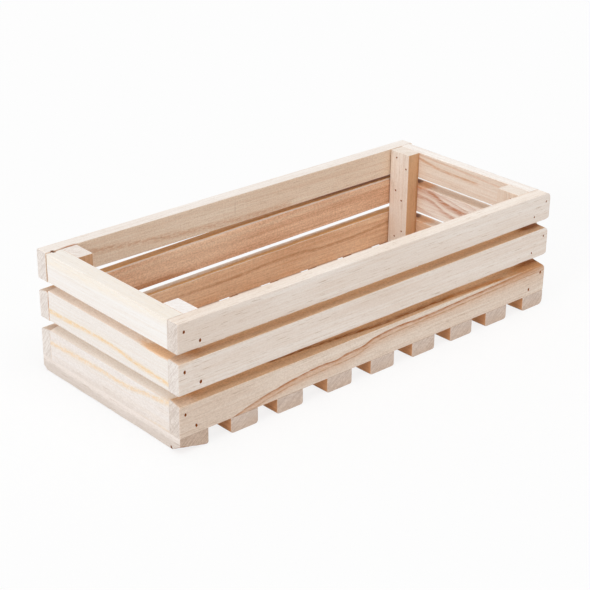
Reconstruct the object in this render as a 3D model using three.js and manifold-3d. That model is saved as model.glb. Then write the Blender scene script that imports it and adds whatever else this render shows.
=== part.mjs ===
// Open slatted display box of unfinished softwood, nailed together from plain strips.
// Millimetres, +Z up. Origin: centre of the footprint, on the surface the box stands on.
// +X runs along the length, -Y is the long front, -X is the left end.

import * as THREE from 'three';
import { mergeVertices } from 'three/addons/utils/BufferGeometryUtils.js';
import Module from 'manifold-3d';

// Overall size
const LENGTH = 350;
const WIDTH = 155;

// Strips of the four walls
const SIDE_SLAT_THICKNESS = 10.5;
const END_SLAT_THICKNESS = 12.5;
const BOTTOM_ROW_HEIGHT = 22.3;
const MIDDLE_ROW_HEIGHT = 22.2;
const TOP_ROW_HEIGHT = 21;
const LOWER_GAP = 7.7;
const UPPER_GAP = 6.7;

// Strips of the floor, which also serve as feet. They are laid by eye, so the gaps between them differ:
// these are the shares of the free length that the gaps take, from left to right.
const FLOOR_GAP_SHARES = [18.5, 16.5, 22, 18, 18, 16.5, 15, 18.5];
const FLOOR_SLAT_WIDTH = 23;
const FLOOR_SLAT_THICKNESS = 11.3;

// Corner posts inside the walls
const POST_ALONG_LENGTH = 12;
const POST_ALONG_WIDTH = 20.5;

// Every strip has its long edges eased by hand
const EDGE_EASE = 0.6;

// Brad nails that hold the long side slats to the end slats and the posts
const NAIL_LENGTH = 28;
const NAIL_POINT_LENGTH = 2;
const NAIL_SHANK_DIAMETER = 1.2;
const NAIL_HEAD_DIAMETER = 2.2;
const NAIL_HEAD_THICKNESS = 0.9;
const NAIL_SINK = 0.5;
const NAIL_CLEARANCE = 0.3;
const NAIL_SIDES = 10;
const CORNER_NAIL_FROM_END = 4.8;
const CORNER_NAIL_BELOW_TOP = 6.3;
const POST_NAIL_INTO_POST = 4.8;
const POST_NAIL_ABOVE_BOTTOM = 5.3;

// How far a cutting tool stands out of the face it cuts
const CUT_OVERRUN = 1;

// Colours
const SIDE_WOOD = 0xdccdba;
const END_WOOD = 0xece0cf;
const FLOOR_WOOD = 0xd8c2a4;
const POST_WOOD = 0xe2d2bd;
const STEEL = 0x6b5a4c;
const WOOD_ROUGHNESS = 0.8;
const STEEL_ROUGHNESS = 0.45;

const wasm = await Module();
wasm.setup();

// The rows of slats from the floor up

const bottomRow = { name: 'bottom', low: FLOOR_SLAT_THICKNESS, height: BOTTOM_ROW_HEIGHT };
const middleRow = {
  name: 'middle',
  low: bottomRow.low + bottomRow.height + LOWER_GAP,
  height: MIDDLE_ROW_HEIGHT,
};
const topRow = {
  name: 'top',
  low: middleRow.low + middleRow.height + UPPER_GAP,
  height: TOP_ROW_HEIGHT,
};
const rows = [bottomRow, middleRow, topRow];
const wallTop = topRow.low + topRow.height;

const halfLength = LENGTH / 2;
const halfWidth = WIDTH / 2;
const innerHalfWidth = halfWidth - SIDE_SLAT_THICKNESS;
const innerHalfLength = halfLength - END_SLAT_THICKNESS;

const sides = [
  { name: 'front', sign: -1 },
  { name: 'back', sign: 1 },
];
const ends = [
  { name: 'left', sign: -1 },
  { name: 'right', sign: 1 },
];

function surface(color, roughness, metalness) {
  return new THREE.MeshStandardMaterial({ color, roughness, metalness });
}

// Solids for cutting

function toSolid(geometry) {
  const bare = geometry.clone();
  bare.deleteAttribute('normal');
  bare.deleteAttribute('uv');
  const merged = mergeVertices(bare);
  const index = Array.from(merged.index.array);
  const triangles = [];
  for (let i = 0; i < index.length; i += 3) {
    const [a, b, c] = index.slice(i, i + 3);
    const hasArea = a !== b && b !== c && c !== a;
    if (hasArea) triangles.push(a, b, c);
  }
  const mesh = new wasm.Mesh({
    numProp: 3,
    vertProperties: Float32Array.from(merged.attributes.position.array),
    triVerts: Uint32Array.from(triangles),
  });
  return new wasm.Manifold(mesh);
}

function toGeometry(solid) {
  const mesh = solid.getMesh();
  const geometry = new THREE.BufferGeometry();
  geometry.setAttribute('position', new THREE.BufferAttribute(mesh.vertProperties, 3));
  geometry.setIndex(new THREE.BufferAttribute(mesh.triVerts, 1));
  geometry.computeVertexNormals();
  return geometry;
}

// A strip with eased long edges, centred on its own origin

const X_AXIS = new THREE.Vector3(1, 0, 0);
const Y_AXIS = new THREE.Vector3(0, 1, 0);
const Z_AXIS = new THREE.Vector3(0, 0, 1);

// For a strip along one axis: the two axes across it, and the turn from a section drawn flat
const LYING_ALONG = {
  x: { across: ['y', 'z'], turn: new THREE.Matrix4().makeBasis(Y_AXIS, Z_AXIS, X_AXIS) },
  y: { across: ['z', 'x'], turn: new THREE.Matrix4().makeBasis(Z_AXIS, X_AXIS, Y_AXIS) },
  z: { across: ['x', 'y'], turn: new THREE.Matrix4() },
};

function easedSection(width, height) {
  const w = width / 2;
  const h = height / 2;
  const section = new THREE.Shape();
  section.moveTo(-w + EDGE_EASE, -h);
  section.lineTo(w - EDGE_EASE, -h);
  section.lineTo(w, -h + EDGE_EASE);
  section.lineTo(w, h - EDGE_EASE);
  section.lineTo(w - EDGE_EASE, h);
  section.lineTo(-w + EDGE_EASE, h);
  section.lineTo(-w, h - EDGE_EASE);
  section.lineTo(-w, -h + EDGE_EASE);
  section.closePath();
  return section;
}

function stripGeometry(size, along) {
  const { across, turn } = LYING_ALONG[along];
  const section = easedSection(size[across[0]], size[across[1]]);
  const geometry = new THREE.ExtrudeGeometry(section, { depth: size[along], bevelEnabled: false });
  geometry.translate(0, 0, -size[along] / 2);
  geometry.applyMatrix4(turn);
  return geometry;
}

// Nails: each has a head end on the outer face of a side slat and points inwards

function turned(profile) {
  const points = profile.map(([radius, along]) => new THREE.Vector2(radius, along));
  return new THREE.LatheGeometry(points, NAIL_SIDES);
}

function nailGeometry() {
  const shank = NAIL_SHANK_DIAMETER / 2;
  const head = NAIL_HEAD_DIAMETER / 2;
  const neck = NAIL_SINK + NAIL_HEAD_THICKNESS;
  const tip = NAIL_SINK + NAIL_LENGTH;
  return turned([
    [0, NAIL_SINK],
    [head, NAIL_SINK],
    [head, neck],
    [shank, neck],
    [shank, tip - NAIL_POINT_LENGTH],
    [0, tip],
  ]);
}

function nailHoleGeometry() {
  const shank = NAIL_SHANK_DIAMETER / 2 + NAIL_CLEARANCE;
  const head = NAIL_HEAD_DIAMETER / 2 + NAIL_CLEARANCE;
  const seat = NAIL_SINK + NAIL_HEAD_THICKNESS;
  const bottom = NAIL_SINK + NAIL_LENGTH + NAIL_CLEARANCE;
  return turned([
    [0, -CUT_OVERRUN],
    [head, -CUT_OVERRUN],
    [head, seat],
    [shank, seat],
    [shank, bottom],
    [0, bottom],
  ]);
}

const nails = [];
for (const side of sides) {
  for (const end of ends) {
    for (const row of rows) {
      const cornerNail = {
        part: 'corner',
        fromEnd: CORNER_NAIL_FROM_END,
        height: row.low + row.height - CORNER_NAIL_BELOW_TOP,
      };
      const postNail = {
        part: 'post',
        fromEnd: END_SLAT_THICKNESS + POST_NAIL_INTO_POST,
        height: row.low + POST_NAIL_ABOVE_BOTTOM,
      };
      for (const spot of [cornerNail, postNail]) {
        nails.push({
          name: `nail_${side.name}_${row.name}_${end.name}_${spot.part}`,
          position: new THREE.Vector3(
            end.sign * (halfLength - spot.fromEnd),
            side.sign * halfWidth,
            spot.height,
          ),
          inwards: -side.sign,
        });
      }
    }
  }
}

const nailHole = toSolid(nailHoleGeometry());
const nailReach = NAIL_SINK + NAIL_LENGTH + NAIL_CLEARANCE;
const nailHoleRadius = NAIL_HEAD_DIAMETER / 2 + NAIL_CLEARANCE;

function nailSpan(nail) {
  const start = nail.position.clone();
  const stop = start.clone();
  stop.y += nail.inwards * nailReach;
  return new THREE.Box3().setFromPoints([start, stop]).expandByVector(
    new THREE.Vector3(nailHoleRadius, 0, nailHoleRadius),
  );
}

// One piece of wood between two corners, with the nail holes that reach into it

function woodPiece(name, low, high, along, colour) {
  const box = new THREE.Box3(new THREE.Vector3(...low), new THREE.Vector3(...high));
  const size = box.getSize(new THREE.Vector3());
  const centre = box.getCenter(new THREE.Vector3());
  let geometry = stripGeometry(size, along);
  const inside = box.clone().expandByScalar(-NAIL_CLEARANCE);
  const nailsHere = nails.filter((nail) => nailSpan(nail).intersectsBox(inside));
  if (nailsHere.length > 0) {
    let solid = toSolid(geometry);
    for (const nail of nailsHere) {
      const place = nail.position.clone().sub(centre);
      const turn = nail.inwards > 0 ? 0 : 180;
      solid = solid.subtract(nailHole.rotate([0, 0, turn]).translate(place.toArray()));
    }
    geometry = toGeometry(solid);
  }
  const mesh = new THREE.Mesh(geometry, surface(colour, WOOD_ROUGHNESS, 0));
  mesh.name = name;
  mesh.position.copy(centre);
  return mesh;
}

// Low and high coordinate of a stretch that starts at a wall and runs inwards
function inwardsFrom(sign, outer, depth) {
  const a = sign * outer;
  const b = sign * (outer - depth);
  return [Math.min(a, b), Math.max(a, b)];
}

function sideSlats() {
  const group = new THREE.Group();
  for (const side of sides) {
    const [y0, y1] = inwardsFrom(side.sign, halfWidth, SIDE_SLAT_THICKNESS);
    for (const row of rows) {
      const low = [-halfLength, y0, row.low];
      const high = [halfLength, y1, row.low + row.height];
      group.add(woodPiece(`${side.name}_slat_${row.name}`, low, high, 'x', SIDE_WOOD));
    }
  }
  return group;
}

function endSlats() {
  const group = new THREE.Group();
  for (const end of ends) {
    const [x0, x1] = inwardsFrom(end.sign, halfLength, END_SLAT_THICKNESS);
    for (const row of rows) {
      const low = [x0, -innerHalfWidth, row.low];
      const high = [x1, innerHalfWidth, row.low + row.height];
      group.add(woodPiece(`${end.name}_end_slat_${row.name}`, low, high, 'y', END_WOOD));
    }
  }
  return group;
}

function cornerPosts() {
  const group = new THREE.Group();
  for (const side of sides) {
    const [y0, y1] = inwardsFrom(side.sign, innerHalfWidth, POST_ALONG_WIDTH);
    for (const end of ends) {
      const [x0, x1] = inwardsFrom(end.sign, innerHalfLength, POST_ALONG_LENGTH);
      const low = [x0, y0, FLOOR_SLAT_THICKNESS];
      const high = [x1, y1, wallTop];
      group.add(woodPiece(`post_${side.name}_${end.name}`, low, high, 'z', POST_WOOD));
    }
  }
  return group;
}

function floorSlats() {
  const group = new THREE.Group();
  const count = FLOOR_GAP_SHARES.length + 1;
  const allShares = FLOOR_GAP_SHARES.reduce((sum, share) => sum + share, 0);
  const freeLength = LENGTH - count * FLOOR_SLAT_WIDTH;
  let x0 = -halfLength;
  for (let i = 0; i < count; i += 1) {
    const low = [x0, -halfWidth, 0];
    const high = [x0 + FLOOR_SLAT_WIDTH, halfWidth, FLOOR_SLAT_THICKNESS];
    group.add(woodPiece(`floor_slat_${i + 1}`, low, high, 'y', FLOOR_WOOD));
    const gap = i < count - 1 ? freeLength * (FLOOR_GAP_SHARES[i] / allShares) : 0;
    x0 = high[0] + gap;
  }
  return group;
}

function sideNails() {
  const group = new THREE.Group();
  for (const nail of nails) {
    const mesh = new THREE.Mesh(nailGeometry(), surface(STEEL, STEEL_ROUGHNESS, 1));
    mesh.name = nail.name;
    mesh.position.copy(nail.position);
    mesh.rotation.z = nail.inwards > 0 ? 0 : Math.PI;
    group.add(mesh);
  }
  return group;
}

const displayBox = new THREE.Group();
displayBox.add(sideSlats(), endSlats(), cornerPosts(), floorSlats(), sideNails());

export default displayBox;
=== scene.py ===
"""Looks of the open slatted display box: pale unfinished softwood strips, nailed together with brads.

Metres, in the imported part's own frame: +X along the length, +Y from front to back, +Z up.
Each piece of wood is a mesh of its own with worn edges, nail holes and its own procedural grain.
"""

import math
import random
from dataclasses import dataclass
from itertools import product

import bmesh
import bpy
from mathutils import Matrix, Vector, noise


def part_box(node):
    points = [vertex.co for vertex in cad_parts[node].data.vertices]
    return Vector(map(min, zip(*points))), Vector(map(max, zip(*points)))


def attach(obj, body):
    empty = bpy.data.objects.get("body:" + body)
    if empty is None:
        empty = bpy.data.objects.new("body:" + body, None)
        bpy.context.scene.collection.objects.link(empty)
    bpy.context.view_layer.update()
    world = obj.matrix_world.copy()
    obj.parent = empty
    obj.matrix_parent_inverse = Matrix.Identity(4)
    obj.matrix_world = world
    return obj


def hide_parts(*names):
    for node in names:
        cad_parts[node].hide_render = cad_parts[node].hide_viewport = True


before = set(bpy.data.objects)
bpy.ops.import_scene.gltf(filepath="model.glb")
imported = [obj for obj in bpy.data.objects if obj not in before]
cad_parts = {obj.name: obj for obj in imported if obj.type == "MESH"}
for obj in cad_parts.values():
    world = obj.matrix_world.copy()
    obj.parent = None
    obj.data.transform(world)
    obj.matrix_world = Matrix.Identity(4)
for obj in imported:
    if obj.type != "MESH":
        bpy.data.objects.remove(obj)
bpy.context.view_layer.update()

MM = 0.001

ROWS = ("top", "middle", "bottom")
SIDES = {"front": -1, "back": 1}
ENDS = {"left": -1, "right": 1}

# Axes of a piece of wood: along the grain, across it, and out of the face to look at
ALONG, UP, OUT = 0, 1, 2

bpy.context.scene.view_settings.view_transform = "Standard"


def srgb(red, green, blue):
    """A display colour, 0 to 255, as the linear colour that nodes take."""

    def linear(value):
        value /= 255
        return value / 12.92 if value <= 0.04045 else ((value + 0.055) / 1.055) ** 2.4

    return linear(red), linear(green), linear(blue), 1.0


# Node materials

# Sockets of a colour mix node, which has several of each name
MIX_SHARE, MIX_FIRST, MIX_SECOND, MIX_RESULT = 0, 6, 7, 2
NO_SHIFT = (0, 0, 0)


@dataclass
class Texture:
    """Noise in the wood: its scale per mm along, up and out, and the noise values that give 0 and 1."""

    scale: tuple
    detail: float
    low: float
    high: float
    roughness: float = 0.5


class Shade:
    """One node material, put together a step at a time. Each step gives back its output socket."""

    def __init__(self, name):
        self.material = bpy.data.materials.new(name)
        self.material.use_nodes = True
        self.tree = self.material.node_tree
        self.bsdf = self.tree.nodes["Principled BSDF"]

    def feed(self, socket, value):
        if isinstance(value, bpy.types.NodeSocket):
            self.tree.links.new(value, socket)
        else:
            socket.default_value = value

    def add(self, kind, inputs=None, **settings):
        node = self.tree.nodes.new(kind)
        for key, value in settings.items():
            setattr(node, key, value)
        for key, value in (inputs or {}).items():
            self.feed(node.inputs[key], value)
        return node

    def math(self, operation, *values):
        return self.add("ShaderNodeMath", dict(enumerate(values)), operation=operation).outputs[0]

    def split(self, vector):
        return self.add("ShaderNodeSeparateXYZ", {0: vector}).outputs

    def stretch(self, vector, scale, shift=NO_SHIFT):
        inputs = {0: vector, 1: scale, 2: shift}
        return self.add("ShaderNodeVectorMath", inputs, operation="MULTIPLY_ADD").outputs[0]

    def noise(self, vector, scale, shift, detail, roughness=0.5):
        place = self.stretch(vector, scale, shift)
        inputs = {"Vector": place, "Scale": 1.0, "Detail": detail, "Roughness": roughness}
        return self.add("ShaderNodeTexNoise", inputs).outputs["Fac"]

    def waver(self, vector, scale, shift, detail):
        """Noise about zero, from about -0.5 to 0.5."""
        return self.math("SUBTRACT", self.noise(vector, scale, shift, detail), 0.5)

    def texture(self, vector, kind, shift):
        """A texture's share here, 0 to 1."""
        value = self.noise(vector, kind.scale, shift, kind.detail, kind.roughness)
        return self.remap(value, kind.low, kind.high)

    def remap(self, value, low, high, to_low=0.0, to_high=1.0):
        names = ("Value", "From Min", "From Max", "To Min", "To Max")
        inputs = dict(zip(names, (value, low, high, to_low, to_high)))
        return self.add("ShaderNodeMapRange", inputs, interpolation_type="SMOOTHSTEP").outputs["Result"]

    def mix(self, share, first, second, blend="MIX"):
        inputs = {MIX_SHARE: share, MIX_FIRST: first, MIX_SECOND: second}
        return self.add("ShaderNodeMix", inputs, data_type="RGBA", blend_type=blend).outputs[MIX_RESULT]

    def curve(self, value, points, low, high):
        """A smooth line through points (x, y): y where x is value, between low and high."""
        first, last = points[0][0], points[-1][0]
        along = self.add("ShaderNodeMapRange", {"Value": value, "From Min": first, "From Max": last})
        node = self.add("ShaderNodeFloatCurve", {"Value": along.outputs["Result"]})
        line = node.mapping.curves[0]
        shares = [((x - first) / (last - first), (y - low) / (high - low)) for x, y in points]
        line.points[0].location = shares[0]
        line.points[1].location = shares[-1]
        for share in shares[1:-1]:
            line.points.new(*share)
        node.mapping.update()
        return self.math("MULTIPLY_ADD", node.outputs[0], high - low, low)

    def bump(self, height, depth, strength):
        node = self.add("ShaderNodeBump", {"Strength": strength, "Distance": depth, "Height": height})
        self.feed(self.bsdf.inputs["Normal"], node.outputs[0])

    def finish(self, colour, roughness, specular):
        """Sets the surface, and gives back the material."""
        self.feed(self.bsdf.inputs["Base Color"], colour)
        self.feed(self.bsdf.inputs["Roughness"], roughness)
        self.bsdf.inputs["Specular IOR Level"].default_value = specular
        return self.material


@dataclass
class Look:
    """The grain of one piece: colours, growth rings, fibres, and the marks and faces of its own.

    Its streaks lie under its stains and patches of painted light and shade, and its lines, which are
    streaks too, lie over them.
    Its faces of their own are painted light and shade. Colours are display colours, 0 to 255, here and
    in faces, stains, painted light and streaks.
    """

    pale: tuple
    brown: tuple
    rings: float = 0.3
    ring_step: float = 4.0
    pith: tuple = (6.0, -60.0)
    tilt: float = 0.0
    wander: float = 3.0
    fibres: float = 0.3
    flecks: float = 0.6
    blotch: float = 0.2
    saw: float = 0.0
    crevice_shade: float = 0.4
    fuzz: float = 0.1
    streaks: tuple = ()
    stains_and_painted_light: tuple = ()
    lines: tuple = ()
    faces: tuple = ()


@dataclass
class Face:
    """One face of a piece: the axis it looks along and its sign, its colours, its share of painted
    crevice shade, and fuzz. Its colours are painted light and shade: lighter or darker, warmer copies of
    the wood.
    """

    axis: int
    sign: int
    pale: tuple
    brown: tuple
    crevice_shade: float = 0.2
    fuzz: float = 0.12


@dataclass
class StainOrPaintedLight:
    """A ragged patch of colour round a point (along, up, out), with its half sizes: a stain, or a patch
    of painted light or shade.

    Lengths are in mm from the middle of the piece. Amount is the share of its colour at the point.
    """

    centre: tuple
    reach: tuple
    colour: tuple
    amount: float
    ragged: float = 0.35


# How a streak breaks up: noise scale along it, and the share left at the weakest spots
FINE_LINES = (0.16, 0.5)
SPECKS = (0.35, 0.25)


@dataclass
class Streak:
    """A coloured line through points (along, up), in mm from the middle of the piece, mostly a line in
    the grain.

    Above and below say how far its colour reaches from the line, and ripple how far the line wavers.
    With the axis OUT, the points are (along, out): the line runs along an upper face.
    """

    points: tuple
    colour: tuple
    amount: float
    above: float
    below: float
    ripple: float = 0.6
    grain: tuple = FINE_LINES
    axis: int = UP


FIBRE = Texture((0.012, 0.7, 0.7), 4.0, 0.36, 0.66, 0.62)
FLECK = Texture((0.07, 1.6, 1.6), 2.0, 0.6, 0.74)
BLOTCH = Texture((0.012, 0.07, 0.07), 2.0, 0.35, 0.7)
SPECK = Texture((0.7, 1.0, 1.0), 2.0, 0.35, 0.65)
SAWN_SIDE = Texture((1.4, 0.09, 0.09), 3.0, 0.4, 0.65)
SAWN_END = Texture((0.1, 0.08, 1.1), 2.0, 0.4, 0.66)
PORES = Texture((0.9, 0.9, 0.9), 3.0, 0.42, 0.7, 0.6)

# Noise scales per mm: along, up and out
RING_DRIFT = (0.007, 0.03, 0.03)
RING_WAVER = (0.03, 0.3, 0.3)
STREAK_RIPPLE = (0.05, 0.12, 0.12)
STREAK_BREAK_ACROSS = 1.1
STAIN_OR_LIGHT_RAGGED = (0.25, 0.9, 0.9)
TORN_FIBRES = (1.5, 1.5, 1.5)
COAT_SPECKS = (1.6, 1.6, 1.6)

RING_WAVER_REACH = 1.2
LATE_WOOD_POWER = 2.6
RING_VARY_SCALE = 0.45
RING_VARY = (0.3, 0.7)
FAINTEST_RING = 0.25
RING_RELIEF = 0.4

# Heights that a streak's points may have, and the length of its faded ends, in mm
STREAK_LOW, STREAK_HIGH = -15.0, 15.0
STREAK_FADE = 8.0
STREAK_BREAK = (0.34, 0.6)
# Heights between which a line on an upper face comes in, in mm
UPPER_FACE = (9.6, 10.8)
STAIN_OR_LIGHT_CORE = 0.45
# How straight at it a face has to look to take a face's own colours, its painted light and shade, as a
# cosine
FACE_TURN = (0.8, 0.95)

# Painted crevice shade: how far the occlusion looks for other wood, the occlusion values over which the
# tint comes in, and the darker, warmer tint
CREVICE_REACH = 16 * MM
CREVICE_DEEP, CREVICE_OPEN = 0.35, 1.0
CREVICE_SHADE_TINT = (0.93, 0.68, 0.43, 1.0)
FLECK_TINT = (0.66, 0.56, 0.46, 1.0)
FUZZ_LIGHT = (1.22, 1.24, 1.26, 1.0)
FUZZ_DARK = (0.7, 0.62, 0.54, 1.0)
SAW_SLANT = math.radians(-38)
END_RINGS, END_SAW, END_PORES = 0.3, 0.45, 0.45
GRAIN_ROUGHNESS = (0.58, 0.74)
END_ROUGHNESS = (0.7, 0.85)
COAT_EDGE = (0.35, 0.6)
COAT_RANGE = (0.3, 0.7)
COAT_ROUGHNESS = (0.45, 0.7)


def millimetres(shade):
    """Object coordinates in mm: along the grain, across it, and out of the face."""
    place = shade.add("ShaderNodeTexCoord").outputs["Object"]
    return shade.stretch(place, (1 / MM, 1 / MM, 1 / MM))


def ring_lines(shade, place, shift, look):
    """0 to 1: how dark the growth ring is, from the distance to a slightly wandering pith."""
    along, up, deep = shade.split(place)
    drift = shade.waver(place, RING_DRIFT, shift, detail=2.0)
    waver = shade.waver(place, RING_WAVER, shift, detail=3.0)
    up = shade.math("MULTIPLY_ADD", along, look.tilt, up)
    up = shade.math("MULTIPLY_ADD", drift, 2 * look.wander, up)
    up = shade.math("MULTIPLY_ADD", waver, RING_WAVER_REACH, up)
    rise = shade.math("SUBTRACT", up, look.pith[0])
    depth = shade.math("SUBTRACT", deep, look.pith[1])
    reach = shade.math("MULTIPLY_ADD", rise, rise, shade.math("MULTIPLY", depth, depth))
    ring = shade.math("DIVIDE", shade.math("SQRT", reach), look.ring_step)
    late = shade.math("POWER", shade.math("FRACT", ring), LATE_WOOD_POWER)
    count = shade.math("MULTIPLY_ADD", ring, RING_VARY_SCALE, shift[0])
    vary = shade.add("ShaderNodeTexNoise", {"W": count, "Scale": 1.0}, noise_dimensions="1D")
    strength = shade.remap(vary.outputs["Fac"], *RING_VARY, FAINTEST_RING, 1.0)
    return shade.math("MULTIPLY", late, strength)


def streak_share(shade, place, shift, streak):
    """0 to 1: how much of the streak's colour shows here."""
    axes = shade.split(place)
    along = axes[ALONG]
    first, last = streak.points[0][0], streak.points[-1][0]
    ripple = shade.waver(place, STREAK_RIPPLE, shift, detail=3.0)
    line = shade.curve(along, streak.points, STREAK_LOW, STREAK_HIGH)
    line = shade.math("MULTIPLY_ADD", ripple, 2 * streak.ripple, line)
    off = shade.math("SUBTRACT", axes[streak.axis], line)
    scale, weakest = streak.grain
    broken = shade.noise(place, (scale, STREAK_BREAK_ACROSS, STREAK_BREAK_ACROSS), shift, detail=3.0)
    shares = [
        shade.remap(off, 0.0, streak.above, 1.0, 0.0),
        shade.remap(off, -streak.below, 0.0),
        shade.remap(along, first - STREAK_FADE, first),
        shade.remap(along, last, last + STREAK_FADE, 1.0, 0.0),
        shade.remap(broken, *STREAK_BREAK, weakest, 1.0),
    ]
    if streak.axis == OUT:
        shares.append(shade.remap(axes[UP], *UPPER_FACE))
    total = streak.amount
    for share in shares:
        total = shade.math("MULTIPLY", total, share)
    return total


def stain_or_light_share(shade, place, shift, stain_or_light):
    """0 to 1: how much of the patch's colour shows here, be it a stain or painted light or shade."""
    scale = [1 / r for r in stain_or_light.reach]
    offset = shade.stretch(place, scale, [-c / r for c, r in zip(stain_or_light.centre, stain_or_light.reach)])
    length = shade.add("ShaderNodeVectorMath", {0: offset}, operation="LENGTH")
    ragged = shade.waver(place, STAIN_OR_LIGHT_RAGGED, shift, detail=3.0)
    distance = shade.math("MULTIPLY_ADD", ragged, 2 * stain_or_light.ragged, length.outputs["Value"])
    return shade.remap(distance, STAIN_OR_LIGHT_CORE, 1.0, stain_or_light.amount, 0.0)


def paint_crevice_shade(shade, colour, amount):
    """Paints shade into the colour where other wood is close: a darker, warmer tint in gaps and corners,
    standing in for shade and for light bounced between warm faces.
    """
    node = shade.add("ShaderNodeAmbientOcclusion", {"Distance": CREVICE_REACH}, samples=8)
    share = shade.remap(node.outputs["AO"], CREVICE_DEEP, CREVICE_OPEN, amount, 0.0)
    return shade.mix(share, colour, CREVICE_SHADE_TINT, "MULTIPLY")


def face_colours(shade, look):
    """The piece's pale, brown, share of painted crevice shade and fuzz, changed on the faces that have
    their own painted light and shade.
    """
    pale, brown, crevice_shade, fuzz = srgb(*look.pale), srgb(*look.brown), look.crevice_shade, look.fuzz
    normal = shade.split(shade.add("ShaderNodeTexCoord").outputs["Normal"])
    for face in look.faces:
        facing = shade.math("MULTIPLY", normal[face.axis], float(face.sign))
        share = shade.remap(facing, *FACE_TURN)
        pale = shade.mix(share, pale, srgb(*face.pale))
        brown = shade.mix(share, brown, srgb(*face.brown))
        crevice_shade = shade.math("MULTIPLY_ADD", share, face.crevice_shade - look.crevice_shade, crevice_shade)
        fuzz = shade.math("MULTIPLY_ADD", share, face.fuzz - look.fuzz, fuzz)
    return pale, brown, crevice_shade, fuzz


def long_grain(name, look, shift):
    """The faces along the grain."""
    shade = Shade(name)
    place = millimetres(shade)
    pale, brown, crevice_shade, fuzz = face_colours(shade, look)
    rings = ring_lines(shade, place, shift, look)
    fibre = shade.texture(place, FIBRE, shift)
    blotch = shade.texture(place, BLOTCH, shift)
    browning = [(rings, look.rings), (blotch, look.blotch), (fibre, look.fibres)]
    if look.saw:
        browning.append((shade.texture(place, SAWN_SIDE, shift), look.saw))
    colour = pale
    for share, amount in browning:
        colour = shade.mix(shade.math("MULTIPLY", share, amount), colour, brown)
    for mark in (*look.streaks, *look.stains_and_painted_light, *look.lines):
        share_of = stain_or_light_share if isinstance(mark, StainOrPaintedLight) else streak_share
        colour = shade.mix(share_of(shade, place, shift, mark), colour, srgb(*mark.colour))
    flecks = shade.math("MULTIPLY", shade.texture(place, FLECK, shift), look.flecks)
    colour = shade.mix(flecks, colour, FLECK_TINT, "MULTIPLY")
    speck = shade.mix(shade.texture(place, SPECK, shift), FUZZ_LIGHT, FUZZ_DARK)
    colour = shade.mix(fuzz, colour, speck, "MULTIPLY")
    shade.bump(shade.math("MULTIPLY_ADD", rings, RING_RELIEF, fibre), depth=0.06 * MM, strength=0.5)
    roughness = shade.remap(fibre, 0.0, 1.0, *GRAIN_ROUGHNESS)
    return shade.finish(paint_crevice_shade(shade, colour, crevice_shade), roughness, specular=0.3)


def end_grain(name, look, shift, colours):
    """The sawn ends: ring arcs, pores and slanting saw marks, greyer than the sides."""
    shade = Shade(name)
    place = millimetres(shade)
    rings = ring_lines(shade, place, shift, look)
    pores = shade.texture(place, PORES, shift)
    slant = {"Vector": place, "Angle": SAW_SLANT}
    turn = shade.add("ShaderNodeVectorRotate", slant, rotation_type="X_AXIS")
    saw = shade.texture(turn.outputs[0], SAWN_END, shift)
    colour, grey = (srgb(*c) for c in colours)
    for share, amount in ((rings, END_RINGS), (saw, END_SAW), (pores, END_PORES)):
        colour = shade.mix(shade.math("MULTIPLY", share, amount), colour, grey)
    shade.bump(shade.math("ADD", saw, pores), depth=0.08 * MM, strength=0.5)
    roughness = shade.remap(pores, 0.0, 1.0, *END_ROUGHNESS)
    return shade.finish(paint_crevice_shade(shade, colour, look.crevice_shade), roughness, specular=0.2)


def torn_wood():
    """The dark walls of nail holes, chips and broken corners."""
    shade = Shade("torn_wood")
    crush = shade.noise(millimetres(shade), TORN_FIBRES, NO_SHIFT, detail=3.0)
    colour = shade.mix(crush, srgb(214, 138, 72), srgb(142, 82, 36))
    shade.bump(crush, depth=0.1 * MM, strength=0.6)
    return shade.finish(colour, roughness=0.9, specular=0.05)


def dull_steel():
    """The brads: wire with a brown coat."""
    shade = Shade("dull_steel")
    specks = shade.noise(millimetres(shade), COAT_SPECKS, NO_SHIFT, detail=3.0)
    colour = shade.mix(shade.remap(specks, *COAT_EDGE), srgb(176, 92, 34), srgb(98, 50, 16))
    roughness = shade.remap(specks, *COAT_RANGE, *COAT_ROUGHNESS)
    return shade.finish(colour, roughness, specular=0.1)


TORN = torn_wood()
STEEL = dull_steel()

# Looks of each piece

PALE_SIDE = (243, 233, 224)
BROWN_SIDE = (216, 188, 164)
BROWN_END = (226, 206, 184)
HONEY = (241, 203, 140)
CREAM = (247, 235, 217)
TAN = (196, 136, 92)
RUST = (196, 132, 94)
# Dark brown for painted shade: round the broken-out chip, and for a post's shadow in a gap
SHADE_DARK = (124, 68, 18)
# Lighter orange for the inner part of the upper faces in the front gaps: painted light into their shade
GAP_DEEP_LIGHT = (240, 197, 150)
# Dark brown at the right ends of the front gaps, beside the post: painted shade
GAP_CORNER_SHADE = (160, 98, 38)

# Faces with colours of their own: painted light and shade, lighter or darker, warmer copies of the wood
# by the way a face looks
# Inner faces of the box: warmer, more saturated and brightened copies, painted warm shade for the inside
# of the box, lit up so that it does not render too dark
INNER_TOP = Face(OUT, 1, (254, 240, 222), (226, 188, 156), fuzz=0.22)
INNER_MIDDLE = Face(OUT, 1, (254, 216, 184), (209, 152, 114), fuzz=0.36)
INNER_BOTTOM = Face(OUT, 1, (254, 221, 188), (216, 158, 114), fuzz=0.24)
INNER_FRONT = Face(OUT, -1, (245, 228, 209), (216, 180, 148))
# The upper face of the back top slat: a lighter copy, painted light
RIM_TOP_LIGHT = Face(UP, 1, (249, 243, 237), (228, 210, 196))
# Upper faces in the front gaps: a darker, browner copy, painted shade
GAP_TOP_SHADE = Face(UP, 1, (219, 185, 150), (195, 151, 112), fuzz=0.3)
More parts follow.
